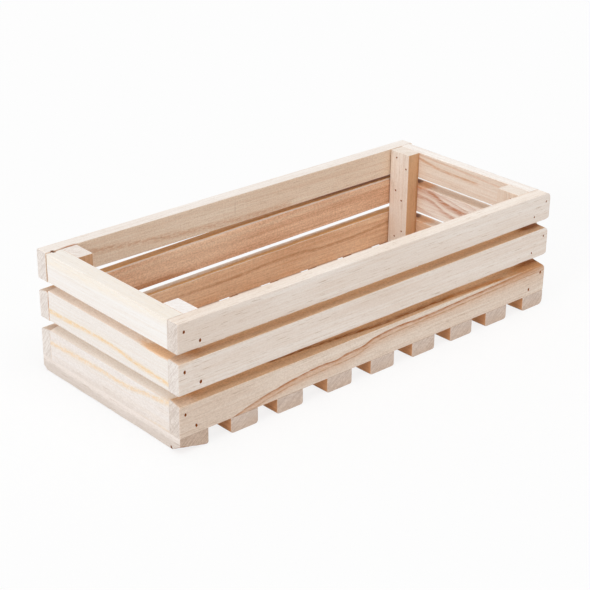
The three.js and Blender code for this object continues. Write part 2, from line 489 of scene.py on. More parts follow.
# Upper faces in the left and right end gaps: lighter copies, the left ones without painted crevice
# shade, painted light into the gap
LEFT_GAP_TOP_LIGHT = Face(UP, 1, (255, 240, 226), (240, 213, 189), crevice_shade=0.0, fuzz=0.2)
LEFT_LOW_GAP_TOP_LIGHT = Face(UP, 1, (255, 246, 236), (252, 236, 220), crevice_shade=0.0, fuzz=0.14)
RIGHT_GAP_TOP_LIGHT = Face(UP, 1, (252, 240, 228), (232, 214, 197))
# Upper faces in the back gaps: a saturated orange-brown copy, painted warm shade
BACK_GAP_TOP_SHADE = Face(UP, 1, (226, 177, 118), (206, 151, 93), fuzz=0.24)

# Sawn ends: the pale wood and the grey of its marks
DIM_END_GRAIN = ((230, 220, 212), (186, 168, 155))
GREY_END_GRAIN = ((238, 231, 225), (201, 186, 176))
PALE_END_GRAIN = ((252, 248, 245), (235, 224, 216))
SAWN_END_GRAIN = ((245, 237, 230), (217, 200, 188))
TAN_END_GRAIN = ((245, 234, 223), (224, 206, 190))
FOOT_END_GRAIN = ((226, 210, 198), (188, 165, 149))
NEAR_FOOT_END_GRAIN = ((218, 196, 179), (168, 140, 118))

# Paler patches on the upper faces in the gaps at the left corner: painted light
FRONT_CORNER_LIGHT = StainOrPaintedLight((-173, 11.1, 1), (17, 4, 9), (232, 210, 190), 0.8)
BACK_CORNER_LIGHT = StainOrPaintedLight((-175, 11.1, 0), (14, 4, 14), (232, 216, 202), 0.85)
# On the upper faces in the right end gaps, next to the back post: an orange patch of painted warm shade
# and a dark patch of painted post shadow
RIGHT_GAP_SHADE = (
    StainOrPaintedLight((-46, 11.1, 0), (16, 3, 9), (244, 190, 138), 0.8),
    StainOrPaintedLight((-54, 11.1, -1), (6, 2.2, 6), SHADE_DARK, 0.9),
)

# The front bottom slat: the flame in its grain, the bands under it, and the line on the upper face
FLAME = (
    (-135, -12), (-102, -4.2), (-71, -0.2), (-54, 1.0), (-44, 0.3), (-30, 2.4), (-20, 2.6), (-4, 5.9),
    (20, 7.5), (44, 6.7), (80, 8.0), (126, 9.2), (174, 11.2),
)
LOWER_BAND = ((-135, -14), (-108, -7.5), (-72, -3), (-28, -2), (0, 3), (40, 4), (100, 5), (175, 6))
LOWER_LINE = ((-120, -12), (-72, -4), (-28, -2.4), (0, 3), (60, 4.5), (174, 6.5))
UPPER_LINE = (
    (-90, -3.6), (-60, -2.4), (-40, -1.0), (-22, -0.1), (-10, 1.1), (4, 1.9), (34, 1.7), (72, 2.1),
)
UPPER_LINE_TAIL = ((74, 2.2), (94, 2.8), (125, 4.1))

BACK_GRAIN = {"rings": 0.45, "fibres": 0.42, "blotch": 0.4, "saw": 0.08}

LOOKS = {
    "front_slat_top": Look(
        PALE_SIDE, BROWN_SIDE, tilt=0.01, pith=(10, -80), flecks=0.9,
        stains_and_painted_light=(StainOrPaintedLight((-155, 0, 5.2), (70, 16, 3), (226, 208, 193), 0.4),),
        # Its inner face is a warmer copy, painted shade, and its upper face a lighter copy, painted
        # light
        faces=(INNER_FRONT, Face(UP, 1, (248, 238, 228), (225, 200, 178))),
    ),
    "front_slat_middle": Look(
        PALE_SIDE, BROWN_SIDE, tilt=-0.01, pith=(-20, -70), flecks=0.85,
        stains_and_painted_light=(
            # Lighter over the inner part of the upper face in the gap: painted light
            StainOrPaintedLight((0, 11.1, -5), (400, 4, 7), GAP_DEEP_LIGHT, 0.7),
            FRONT_CORNER_LIGHT,
            # Dark at the right end of the gap, beside the post: painted shade
            StainOrPaintedLight((166, 11.1, -3), (22, 3, 5), GAP_CORNER_SHADE, 0.85),
        ),
        faces=(INNER_FRONT, GAP_TOP_SHADE),
    ),
    "front_slat_bottom": Look(
        (239, 225, 211), (208, 173, 144), tilt=-0.05, pith=(-70, -40), wander=2.0, fuzz=0.2,
        streaks=(
            Streak(FLAME, (208, 152, 106), 0.6, 0.8, 7.0),
            Streak(FLAME, (172, 102, 46), 1.0, 0.8, 2.0),
            Streak(LOWER_BAND, (212, 168, 133), 0.5, 3.0, 9.0),
            Streak(LOWER_LINE, (180, 120, 70), 0.6, 0.5, 1.2),
        ),
        stains_and_painted_light=(
            # Lighter over the inner part of the upper face in the gap: painted light
            StainOrPaintedLight((0, 11.1, -5), (400, 4, 7), GAP_DEEP_LIGHT, 0.9),
            FRONT_CORNER_LIGHT,
            StainOrPaintedLight((-150, 0, 5.2), (62, 16, 3), (216, 194, 176), 0.4),
            # Lighter over the inner part of the upper face in the gap, towards the right: painted light
            StainOrPaintedLight((105, 11.1, -4), (46, 3, 6), (255, 222, 184), 0.6),
            # Browner, then dark, at the right end of the gap, beside the post: painted shade
            StainOrPaintedLight((160, 11.1, 1), (30, 3, 8), (200, 142, 84), 0.7),
            StainOrPaintedLight((168, 11.1, -3), (26, 3, 5), GAP_CORNER_SHADE, 0.85),
            StainOrPaintedLight((150, 9.5, 5.2), (46, 4.5, 4), (196, 142, 98), 0.55, ragged=0.5),
        ),
        lines=(
            Streak(UPPER_LINE, (154, 88, 6), 1.0, 1.3, 4.0, ripple=0.3, axis=OUT),
            Streak(UPPER_LINE_TAIL, (188, 124, 62), 1.0, 1.6, 4.0, ripple=0.3, axis=OUT),
        ),
        faces=(INNER_FRONT, GAP_TOP_SHADE),
    ),
    "back_slat_top": Look(
        PALE_SIDE, BROWN_SIDE, tilt=0.02, pith=(-40, -40), saw=0.08,
        streaks=(
            Streak(((-140, 2), (-88, -3.4), (-52, -6.1), (-12, -8), (40, -9)), (212, 158, 114),
                   0.55, 3.4, 4.6, ripple=1.0, grain=SPECKS),
        ),
        stains_and_painted_light=(
            StainOrPaintedLight((-10.3, 0.8, 5.2), (0.45, 8.5, 1.2), (176, 140, 112), 0.35, ragged=0.2),
            # Dark round the chip: painted shade in the hole
            StainOrPaintedLight((-169.4, 9.5, 5.2), (1.7, 3.4, 1.5), SHADE_DARK, 0.9),
            StainOrPaintedLight((-156, 9.6, 5.2), (9, 2.0, 1.5), RUST, 0.8),
        ),
        faces=(INNER_TOP, RIM_TOP_LIGHT),
    ),
    "back_slat_middle": Look(
        PALE_SIDE, BROWN_SIDE, tilt=0.01, pith=(30, -60), **BACK_GRAIN,
        streaks=(
            # A paler band along the upper part of the inner face
            Streak(((-175, 5.5), (-60, 6.0), (40, 6.5), (175, 7.5)), (248, 222, 196),
                   0.6, 2.5, 2.5),
        ),
        stains_and_painted_light=(
            # Paler over the left part of the inner face, where the left end shades it: painted light
            StainOrPaintedLight((-55, 3, 5.2), (75, 13, 3), (255, 226, 198), 0.45),
            StainOrPaintedLight((-92, -9.8, 5.2), (56, 3.4, 3), (184, 118, 70), 0.65),
            # Dark brown over the right part of the upper face, deep in the narrowing gap: painted shade
            StainOrPaintedLight((150, 10.2, -1.5), (115, 4, 6.4), (150, 86, 28), 0.85),
            BACK_CORNER_LIGHT,
        ),
        faces=(INNER_MIDDLE, BACK_GAP_TOP_SHADE),
    ),
    "back_slat_bottom": Look(
        PALE_SIDE, BROWN_SIDE, tilt=-0.01, pith=(-30, -60), **BACK_GRAIN,
        streaks=(
            Streak(((-120, 4), (-15, 3.6), (45, 6), (87, 3.6), (151, 7)), TAN, 0.75, 1.8, 3.0),
        ),
        stains_and_painted_light=(
            # Paler over the left part of the inner face: painted light
            StainOrPaintedLight((-110, 2, 5.2), (95, 13, 3), (255, 226, 196), 0.3),
            # Paler towards the outer edge of the upper face in the gap: painted light from behind
            StainOrPaintedLight((0, 11.1, -6), (400, 5, 9), (250, 236, 222), 0.85),
            BACK_CORNER_LIGHT,
        ),
        faces=(INNER_BOTTOM, BACK_GAP_TOP_SHADE),
    ),
    "left_end_slat_top": Look(
        (245, 242, 239), BROWN_END,
        fibres=0.2, rings=0.08, blotch=0.1, flecks=0.3, crevice_shade=0.1, fuzz=0.06,
        streaks=(
            Streak(((-67, 5), (-40, 6), (0, 7), (50, 9), (67, 10)), CREAM, 0.6, 12.0, 6.0),
        ),
        stains_and_painted_light=(
            StainOrPaintedLight((-66.2, 11, 0), (1.9, 3, 9), RUST, 0.8),
            StainOrPaintedLight((-66.2, -7, 6.2), (1.5, 6, 2), RUST, 0.7),
            # Dark round the chip: painted shade in the hole
            StainOrPaintedLight((-65, 10.5, 0.65), (1.9, 3, 1.9), SHADE_DARK, 0.8),
        ),
        faces=(INNER_FRONT,),
    ),
    "left_end_slat_middle": Look(
        (239, 234, 230), BROWN_END,
        fibres=0.2, rings=0.08, blotch=0.1, flecks=0.3, crevice_shade=0.05,
        streaks=(
            Streak(((-66, -3.4), (-42, -2.9), (-3, -1.9), (15, -2.7), (33, -4.7), (66, -6)), HONEY,
                   0.8, 2.8, 2.8, ripple=0.9, grain=SPECKS),
        ),
        # Orange on the upper face in the gap, beside the front post: painted warm shade
        stains_and_painted_light=(StainOrPaintedLight((54, 11.1, 2), (26, 2, 9), (242, 192, 138), 0.75),),
        faces=(INNER_FRONT, LEFT_GAP_TOP_LIGHT),
    ),
    "left_end_slat_bottom": Look(
        (237, 231, 228), BROWN_END,
        fibres=0.2, rings=0.1, blotch=0.12, flecks=0.3, crevice_shade=0.0, fuzz=0.14,
        streaks=(
            Streak(((-66, 1.9), (-44, 3.1), (0, 4.2), (21, 4.3), (41, 6.9), (66, 10)), HONEY,
                   0.62, 3.0, 3.2, ripple=0.9, grain=SPECKS),
            Streak(((30, -12), (49, -10.4), (66, -10.4)), HONEY,
                   0.45, 2.0, 2.0, ripple=0.9, grain=SPECKS),
        ),
        stains_and_painted_light=(StainOrPaintedLight((0, -14, 6.2), (110, 10, 4), (224, 212, 203), 0.6),),
        faces=(INNER_FRONT, LEFT_LOW_GAP_TOP_LIGHT),
    ),
    "right_end_slat_top": Look(
        PALE_SIDE, (214, 180, 148), pith=(-30, -30), tilt=0.05,
        streaks=(
            Streak(((-46, 6), (-24, 3), (12, 2)), (214, 162, 116), 0.75, 1.5, 2.5),
            Streak(((-46, 9), (-10, 8), (40, 6)), (218, 168, 126), 0.5, 1.0, 1.6),
        ),
        # Its inner face and its upper face are lighter copies: painted light
        faces=(
            Face(OUT, 1, (249, 240, 230), (220, 187, 158)),
            Face(UP, 1, (253, 248, 243), (235, 219, 206)),
        ),
    ),
    "right_end_slat_middle": Look(
        (255, 250, 243), (206, 154, 124),
        rings=0.5, ring_step=5.0, pith=(-30, -20), tilt=0.2, wander=6.0,
        streaks=(
            Streak(((-46, 10), (-31, 9), (-15, 4), (12, 1), (40, -4)), RUST, 0.95, 2.0, 5.0),
            Streak(((-46, 3), (-31, 2), (-17, -3), (10, -7), (40, -10)), RUST, 0.75, 2.0, 3.5),
        ),
        stains_and_painted_light=RIGHT_GAP_SHADE,
        faces=(RIGHT_GAP_TOP_LIGHT,),
    ),
    "right_end_slat_bottom": Look(
        PALE_SIDE, BROWN_SIDE, pith=(30, -30),
        stains_and_painted_light=RIGHT_GAP_SHADE,
        # Its inner face: a darker, browner copy, painted shade
        faces=(Face(OUT, 1, (236, 206, 178), (198, 146, 110)), RIGHT_GAP_TOP_LIGHT),
    ),
    "post_back_right": Look(
        (246, 234, 222), (216, 184, 156), rings=0.25, ring_step=3.0, pith=(-30, 10),
        # A brown band down the right edge of the shaded side: painted shade
        stains_and_painted_light=(StainOrPaintedLight((0, -10.2, -6), (70, 4, 3), (168, 100, 44), 0.35),),
        # A lighter copy on the lit left side and a darker, browner one on the shaded side facing the
        # front: painted light and shade
        faces=(
            Face(OUT, 1, (250, 242, 234), (223, 199, 178)),
            Face(UP, -1, (234, 195, 155), (204, 152, 109)),
        ),
    ),
    "floor_slat_1": Look(
        (226, 216, 208), (198, 180, 166), ring_step=3.5, pith=(-10, -30), crevice_shade=0.1,
        # Paler over the upper part of the end foot's outer face, so that it darkens towards the floor:
        # painted shade
        stains_and_painted_light=(StainOrPaintedLight((0, -11.5, 7.5), (200, 5, 8), (238, 228, 221), 0.9),),
        # Its outer left side stays near the plain wood, without the painted shade of the other strips'
        # left sides
        faces=(Face(UP, -1, (222, 211, 203), (204, 190, 178), crevice_shade=0.0),),
    ),
}
POST_LOOK = Look(
    (245, 231, 217), (216, 184, 156), rings=0.25, ring_step=3.0, pith=(-30, 10),
    # The side of each post that faces the front: a darker, browner copy, painted shade
    faces=(Face(UP, -1, (232, 192, 155), (202, 150, 110)),),
)
FLOOR_LOOK = Look(
    (228, 217, 208), (200, 180, 164), ring_step=3.5, pith=(-10, -30), crevice_shade=0.3,
    # The left side of each strip, in the gap between strips: a darker, browner copy, painted shade
    faces=(Face(UP, -1, (214, 164, 122), (178, 122, 82), crevice_shade=0.3),),
)
NODE_END_GRAINS = {
    "front_slat_top": DIM_END_GRAIN,
    "front_slat_bottom": DIM_END_GRAIN,
    "post_front_right": TAN_END_GRAIN,
    "post_back_left": SAWN_END_GRAIN,
    "post_back_right": TAN_END_GRAIN,
    "floor_slat_1": NEAR_FOOT_END_GRAIN,
}

# Meshes

# Material slots of a piece of wood
GRAIN_SLOT, ENDS_SLOT, TORN_SLOT = 0, 1, 2

# A section's edges are rounded in a few straight steps, from the upper front edge on
EDGE_STEPS = 3
UPPER_FRONT_EDGE = range(0, 4)
UPPER_BACK_EDGE = range(12, 16)

STATION = 4 * MM
END_LIP = 0.3 * MM
# A rounded end: distance from the end, and what is taken off there, as shares of the radius
END_ROUNDING = ((0.0, 1.0), (0.05, 0.69), (0.19, 0.41), (0.41, 0.19), (0.69, 0.05), (1.0, 0.0))
END_FACE_TURN = 0.6

# Noise scales per metre along the edges, and how strongly each noise shows
WEAR_SCALE = 70
NICK_SCALE = 260
NICK_LEVEL = 0.45
NICK_DEPTH = 1.6
SAW_WAVE_SCALE = 45
SAW_TEETH_SCALE = 210
SAW_TEETH = 0.6
LIFT_STRAY = 0.2

SPLINTER_HALF = 0.45 * MM

BREAK_STEPS = 12
BREAK_SPREAD = 1.25
BREAK_ROUGH = 0.5 * MM
BREAK_SCALE = 420

HOLE_CORNERS = 12
HOLE_ABOVE = 0.6 * MM
HOLE_TAPER = 0.8
HOLE_RAGGED = 0.14

# A brad's head, wire and point
HEAD_WIDE, HEAD_HIGH, HEAD_DEEP = 1.5 * MM, 2.1 * MM, 0.7 * MM
HEAD_RIM, HEAD_NECK = 0.15 * MM, 0.3 * MM
HEAD_TOP_WIDE, HEAD_TOP_HIGH = 0.86, 0.9
WIRE_WIDE, WIRE_HIGH = 0.9 * MM, 1.2 * MM
POINT_LONG, POINT_WIDE = 1.6 * MM, 0.15 * MM
BRAD_EASING = 0.12


@dataclass
class Shape:
    """How one strip departs from a plain bar, in mm.

    Easing is for the long edges: upper front, lower front, lower back and upper back. Corner rounds the
    ends, and seat is the share of that on their lower edges. Rise is how far above its place the strip
    is nailed at its start and its end. Low and high move its two edges, from start to end. Trim shortens
    the ends. Lift is how far the upper front and upper back edges stand up, where the strip was sawn out
    of square. Rough, a share, is how unevenly the long edges are worn.
    """

    easing: tuple = (0.5, 0.5, 0.5, 0.5)
    corner: tuple = (0.3, 0.3)
    seat: float = 1.0
    rise: tuple = (0.0, 0.0)
    low: tuple = (0.0, 0.0)
    high: tuple = (0.0, 0.0)
    trim: tuple = (0.0, 0.0)
    lift: tuple = (0.0, 0.0)
    rough: float = 0.35


def section(width, depth, easing):
    """A rectangle with rounded corners, each with its own easing, as a loop of points."""
    points = []
    corners = ((1, 1), (-1, 1), (-1, -1), (1, -1))
    for radius, (sy, sz) in zip(easing, corners):
        centre = (sy * (width / 2 - radius), sz * (depth / 2 - radius))
        first = math.atan2(sz, sy) - math.pi / 4
        for step in range(EDGE_STEPS + 1):
            angle = first + step / EDGE_STEPS * math.pi / 2
            points.append((centre[0] + radius * math.cos(angle), centre[1] + radius * math.sin(angle)))
    return points


def bridge(made, rings):
    """Adds a band of faces between each loop of points and the next."""
    for before, after in zip(rings, rings[1:]):
        total = len(before)
        for i in range(total):
            j = (i + 1) % total
            made.faces.new((before[i], before[j], after[j], after[i]))


def along_strip(values, share):
    """The value at a share of the strip's length, from values at even steps along it."""
    steps = len(values) - 1
    place = min(max(share, 0.0), 1.0) * steps
    number = min(int(place), steps - 1)
    return values[number] + (values[number + 1] - values[number]) * (place - number)


def stations(length, shape):
    """Places along a strip: x, the share of an end's radius taken off there, and that radius."""
    start = -length / 2 + shape.trim[0] * MM
    stop = length / 2 - shape.trim[1] * MM
    near, far = (c * MM for c in shape.corner)
    first, last = start + near, stop - far
    count = max(2, round((stop - start) / STATION))
    places = [(start + near * d, shrink, near) for d, shrink in END_ROUNDING]
    places += [(first + (last - first) * i / count, 0.0, 0.0) for i in range(1, count)]
    places += [(stop - far * d, shrink, far) for d, shrink in reversed(END_ROUNDING)]
    return places


def worn_easing(x, seed, shape):
    """The easing of the four long edges at x: worn unevenly, with a nick here and there."""
    worn = []
    for number, easing in enumerate(shape.easing):
        wear = noise.noise(Vector((x * WEAR_SCALE, number * 7.3 + seed, 0.4)))
        nick = max(0.0, noise.noise(Vector((x * NICK_SCALE, number * 3.1, seed + 5.0))) - NICK_LEVEL)
        worn.append(easing * MM * (1 + shape.rough * wear + NICK_DEPTH * nick))
    return worn


def sawn_stray(x, seed):
    """How a sawn edge strays from its line at x: waves with small teeth, about zero."""
    waves = noise.noise(Vector((x * SAW_WAVE_SCALE, seed, 2.0)))
    return waves + SAW_TEETH * noise.noise(Vector((x * SAW_TEETH_SCALE, seed, 7.0)))


def strip_mesh(size, seed, shape):
    """A sawn strip along X with worn long edges, as a bmesh centred on the origin."""
    length, width, depth = size
    made = bmesh.new()
    rings = []
    for x, shrink, radius in stations(length, shape):
        share = (x + length / 2) / length
        low = MM * along_strip(shape.low, share)
        high = MM * along_strip(shape.high, share)
        lift = MM * (1 + LIFT_STRAY * sawn_stray(x, seed)) * (1 - shrink)
        upper = radius * shrink
        lower = upper * shape.seat
        loop = section(width - upper - lower, depth - 2 * END_LIP * shrink, worn_easing(x, seed, shape))
        ring = []
        for number, (y, z) in enumerate(loop):
            y += (lower - upper) / 2
            y += low + (high - low) * (y / width + 0.5)
            if number in UPPER_FRONT_EDGE:
                y += lift * shape.lift[0]
            if number in UPPER_BACK_EDGE:
                y += lift * shape.lift[1]
            ring.append(made.verts.new((x, y, z)))
        rings.append(ring)
    bridge(made, rings)
    made.faces.new(list(reversed(rings[0])))
    made.faces.new(rings[-1])
    bmesh.ops.recalc_face_normals(made, faces=made.faces)
    for face in made.faces:
        face.material_index = ENDS_SLOT if abs(face.normal.x) > END_FACE_TURN else GRAIN_SLOT
    return made


def splinter(made, base, tip):
    """Adds a sliver of end grain that still hangs on the wood."""
    ways = ((1, 0, 0), (0, 1, 0), (-1, 0, 0), (0, -1, 0))
    ring = [made.verts.new(base + Vector(way) * SPLINTER_HALF) for way in ways]
    point = made.verts.new(tip)
    sides = [made.faces.new((ring[i], ring[(i + 1) % 4], point)) for i in range(4)]
    sides.append(made.faces.new(list(reversed(ring))))
    bmesh.ops.recalc_face_normals(made, faces=sides)
    for face in sides:
        face.material_index = ENDS_SLOT


def broken_corner(made, torn, corner):
    """Adds a wedge over a corner: a rough triangle through three points, closed by a point outside."""
    centre = sum(torn, Vector()) / 3
    across = (torn[1] - torn[0]).cross(torn[2] - torn[0]).normalized()
    wide = [centre + BREAK_SPREAD * (point - centre) for point in torn]
    apex = made.verts.new(corner + 0.5 * (corner - centre))
    steps = BREAK_STEPS
    grid = {}
    for i in range(steps + 1):
        for j in range(steps + 1 - i):
            spot = (wide[0] * i + wide[1] * j + wide[2] * (steps - i - j)) / steps
            spot += across * BREAK_ROUGH * noise.noise(spot * BREAK_SCALE)
            grid[i, j] = made.verts.new(spot)
    for i in range(steps):
        for j in range(steps - i):
            made.faces.new((grid[i, j], grid[i + 1, j], grid[i, j + 1]))
            if i + j < steps - 1:
                made.faces.new((grid[i + 1, j], grid[i + 1, j + 1], grid[i, j + 1]))
    rims = (
        [grid[i, 0] for i in range(steps + 1)],
        [grid[steps - j, j] for j in range(steps + 1)],
        [grid[0, j] for j in range(steps + 1)],
    )
    for rim in rims:
        for before, after in zip(rim, rim[1:]):
            made.faces.new((before, after, apex))


def facing(out, spin):
    """A turn that brings Z to the way out, spun about it."""
    return out.to_track_quat("Z", "Y").to_matrix().to_4x4() @ Matrix.Rotation(spin, 4, "Z")


def hole_prism(made, centre, turn, half_wide, half_high, depth, draw):
    """Adds a ragged oval prism that starts just above a face and goes depth into it."""
    loops = []
    for level, shrink in ((HOLE_ABOVE, 1.0), (-depth, HOLE_TAPER)):
        loop = []
        for i in range(HOLE_CORNERS):
            angle = 2 * math.pi * i / HOLE_CORNERS
            ragged = shrink * (1 + HOLE_RAGGED * draw.uniform(-1, 1))
            spot = Vector((half_wide * math.cos(angle), half_high * math.sin(angle), 0)) * ragged
            spot.z = level
            loop.append(made.verts.new(centre + turn @ spot))
        loops.append(loop)
    bridge(made, loops)
    made.faces.new(loops[0])
    made.faces.new(loops[1])


def brad_mesh(length, size):
    """A brad along -Z with its head's top at the origin: flat head, wire shank, chisel point."""
    made = bmesh.new()
    head_wide, head_high = HEAD_WIDE * size, HEAD_HIGH * size
    levels = (
        (0.0, HEAD_TOP_WIDE * head_wide, HEAD_TOP_HIGH * head_high),
        (-HEAD_RIM, head_wide, head_high),
        (-HEAD_DEEP, head_wide, head_high),
        (-HEAD_DEEP - HEAD_NECK, WIRE_WIDE, WIRE_HIGH),
        (-length + POINT_LONG, WIRE_WIDE, WIRE_HIGH),
        (-length, POINT_WIDE, WIRE_HIGH),
    )
    rings = []
    for z, wide, high in levels:
        loop = section(wide, high, [BRAD_EASING * min(wide, high)] * 4)
        rings.append([made.verts.new((x, y, z)) for x, y in loop])
    bridge(made, rings)
    made.faces.new(rings[0])
    made.faces.new(rings[-1])
    bmesh.ops.recalc_face_normals(made, faces=made.faces)
    return made


def to_object(made, name, materials, place=Matrix.Identity(4)):
    """Puts a bmesh into the scene as an object."""
    mesh = bpy.data.meshes.new(name)
    made.to_mesh(mesh)
    made.free()
    for material in materials:
        mesh.materials.append(material)
    piece = bpy.data.objects.new(name, mesh)
    bpy.context.scene.collection.objects.link(piece)
    piece.matrix_world = place
    return piece


def cut(piece, cutter):
    """Takes the cutter's solids out of a piece of wood, and the cutter away."""
    bmesh.ops.recalc_face_normals(cutter, faces=cutter.faces)
    tool = to_object(cutter, "cutter", piece.data.materials, piece.matrix_world)
    for polygon in tool.data.polygons:
        polygon.material_index = TORN_SLOT
    step = piece.modifiers.new("holes", "BOOLEAN")
    step.operation = "DIFFERENCE"
    step.solver = "EXACT"
    step.object = tool
    shown = piece.evaluated_get(bpy.context.evaluated_depsgraph_get())
    result = bpy.data.meshes.new_from_object(shown)
    result.name = piece.name
    piece.modifiers.clear()
    piece.data = result
    bpy.data.objects.remove(tool)


# Nails

# Axes of the assembly
X, Y = 0, 1

SIDE_NAIL_LENGTH = 26 * MM
POST_NAIL_LENGTH = 18 * MM
FLOOR_NAIL_LENGTH = 24 * MM
NAIL_HOLE_DEPTH = 2.2 * MM
NAIL_HOLE_WIDE, NAIL_HOLE_HIGH = 1.05 * MM, 1.35 * MM
ENTRY_SLACK = 0.2 * MM
# Ranges of the random draws: turn in degrees, hole sizes as shares, the rest in mm
NAIL_TURN = (-28, 28)
NAIL_HOLE_VARY = (0.9, 1.1)
NAIL_SINK = (0.35, 0.6)
FLOOR_NAIL_STRAY = (-5, 5)
FLOOR_NAIL_INSET = (4.4, 6.0)

# Sizes of the brads in the side slats, from the top row down, and of those in the posts
SIDE_NAIL_SIZES = {"left": (1.0, 1.0, 1.0), "right": (0.62, 0.62, 0.95)}
POST_NAIL_SIZE = 0.7

# Brads from a post into an end slat, in mm: inset from the wall, and height above the slat's lower edge
POST_NAIL_SPOTS = {
    "top": ((7.3, 16.0), (17.9, 8.9)),
    "middle": ((7.5, 17.2), (14.2, 10.2)),
    "bottom": ((8.0, 7.8), (15.7, 14.2)),
}

# Brads that were driven beside their usual spot, in mm
STRAY_NAILS = {"brad_front_bottom_left_post": (-4.1, 0, 0.3), "brad_floor_1_front": (7, 0, 0)}

FLOOR_NODES = sorted(
    (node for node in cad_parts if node.startswith("floor_slat_")),
    key=lambda node: int(node.removeprefix("floor_slat_")),
)


class Nail:
    """A brad: where it enters, the way out of the wood there, its length, size, turn, hole and sink."""

    def __init__(self, name, point, out, length, node=None, size=1.0):
        draw = random.Random(name)
        self.name = name
        self.point = Vector(point) + MM * Vector(STRAY_NAILS.get(name, (0, 0, 0)))
        self.out = Vector(out)
        self.length = length
        self.node = node
        self.size = size
        self.spin = math.radians(draw.uniform(*NAIL_TURN))
        self.wide = NAIL_HOLE_WIDE * size * draw.uniform(*NAIL_HOLE_VARY)
        self.high = NAIL_HOLE_HIGH * size * draw.uniform(*NAIL_HOLE_VARY)
        self.sink = draw.uniform(*NAIL_SINK) * MM


def face_at(box, axis, sign):
    """Where the face on one side of a box lies along an axis."""
    low, high = box
    return high[axis] if sign > 0 else low[axis]


def side_nails():
    """Brads through the long slats, at the places of the nails in the solids."""
    made = []
    for side, row, end, part in product(SIDES, ROWS, ENDS, ("corner", "post")):
        place = f"{side}_{row}_{end}_{part}"
        low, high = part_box(f"nail_{place}")
        face = face_at(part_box(f"{side}_slat_{row}"), Y, SIDES[side])
        point = ((low.x + high.x) / 2, face, (low.z + high.z) / 2)
        size = SIDE_NAIL_SIZES[end][ROWS.index(row)]
        out = (0, SIDES[side], 0)
        made.append(Nail(f"brad_{place}", point, out, SIDE_NAIL_LENGTH, f"nail_{place}", size))
    return made


def post_nails():
    """Brads from inside, through the posts into the end slats."""
    made = []
    for side, end, row in product(SIDES, ENDS, ROWS):
        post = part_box(f"post_{side}_{end}")
        face = face_at(post, X, -ENDS[end])
        wall = face_at(post, Y, SIDES[side])
        slat_low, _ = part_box(f"{end}_end_slat_{row}")
        for number, (inset, height) in enumerate(POST_NAIL_SPOTS[row], 1):
            point = (face, wall - SIDES[side] * inset * MM, slat_low.z + height * MM)
            name = f"brad_{end}_end_{row}_{side}_{number}"
            out = (-ENDS[end], 0, 0)
            made.append(Nail(name, point, out, POST_NAIL_LENGTH, size=POST_NAIL_SIZE))
    return made


def floor_nails():
    """Brads from below, through the floor strips into the bottom slats."""
    made = []
    for number, node in enumerate(FLOOR_NODES, 1):
        low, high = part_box(node)
        draw = random.Random(number)
        for side, sign in SIDES.items():
            wall = face_at((low, high), Y, sign)
            x = (low.x + high.x) / 2 + draw.uniform(*FLOOR_NAIL_STRAY) * MM
            point = (x, wall - sign * draw.uniform(*FLOOR_NAIL_INSET) * MM, low.z)
            made.append(Nail(f"brad_floor_{number}_{side}", point, (0, 0, -1), FLOOR_NAIL_LENGTH))
    return made


NAILS = side_nails() + post_nails() + floor_nails()


def nails_entering(low, high):
    """Nails whose entry point lies on the surface of this box."""
    return [
        nail for nail in NAILS
        if all(low[i] - ENTRY_SLACK <= nail.point[i] <= high[i] + ENTRY_SLACK for i in range(3))
    ]


def add_nails():
    """The brads, each sunk a little below the face."""
    for nail in NAILS:
        place = Matrix.Translation(nail.point - nail.out * nail.sink) @ facing(nail.out, nail.spin)
        piece = to_object(brad_mesh(nail.length, nail.size), nail.name, [STEEL], place)
        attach(piece, "root")
        if nail.node:
            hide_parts(nail.node)


# Pieces of wood


@dataclass
class Kind:
    """What strips of one kind share. The axes are along the grain, across it, and out of the face."""

    slot: str
    axes: tuple
    end_grain: tuple
    shape: Shape
    look: Look = None


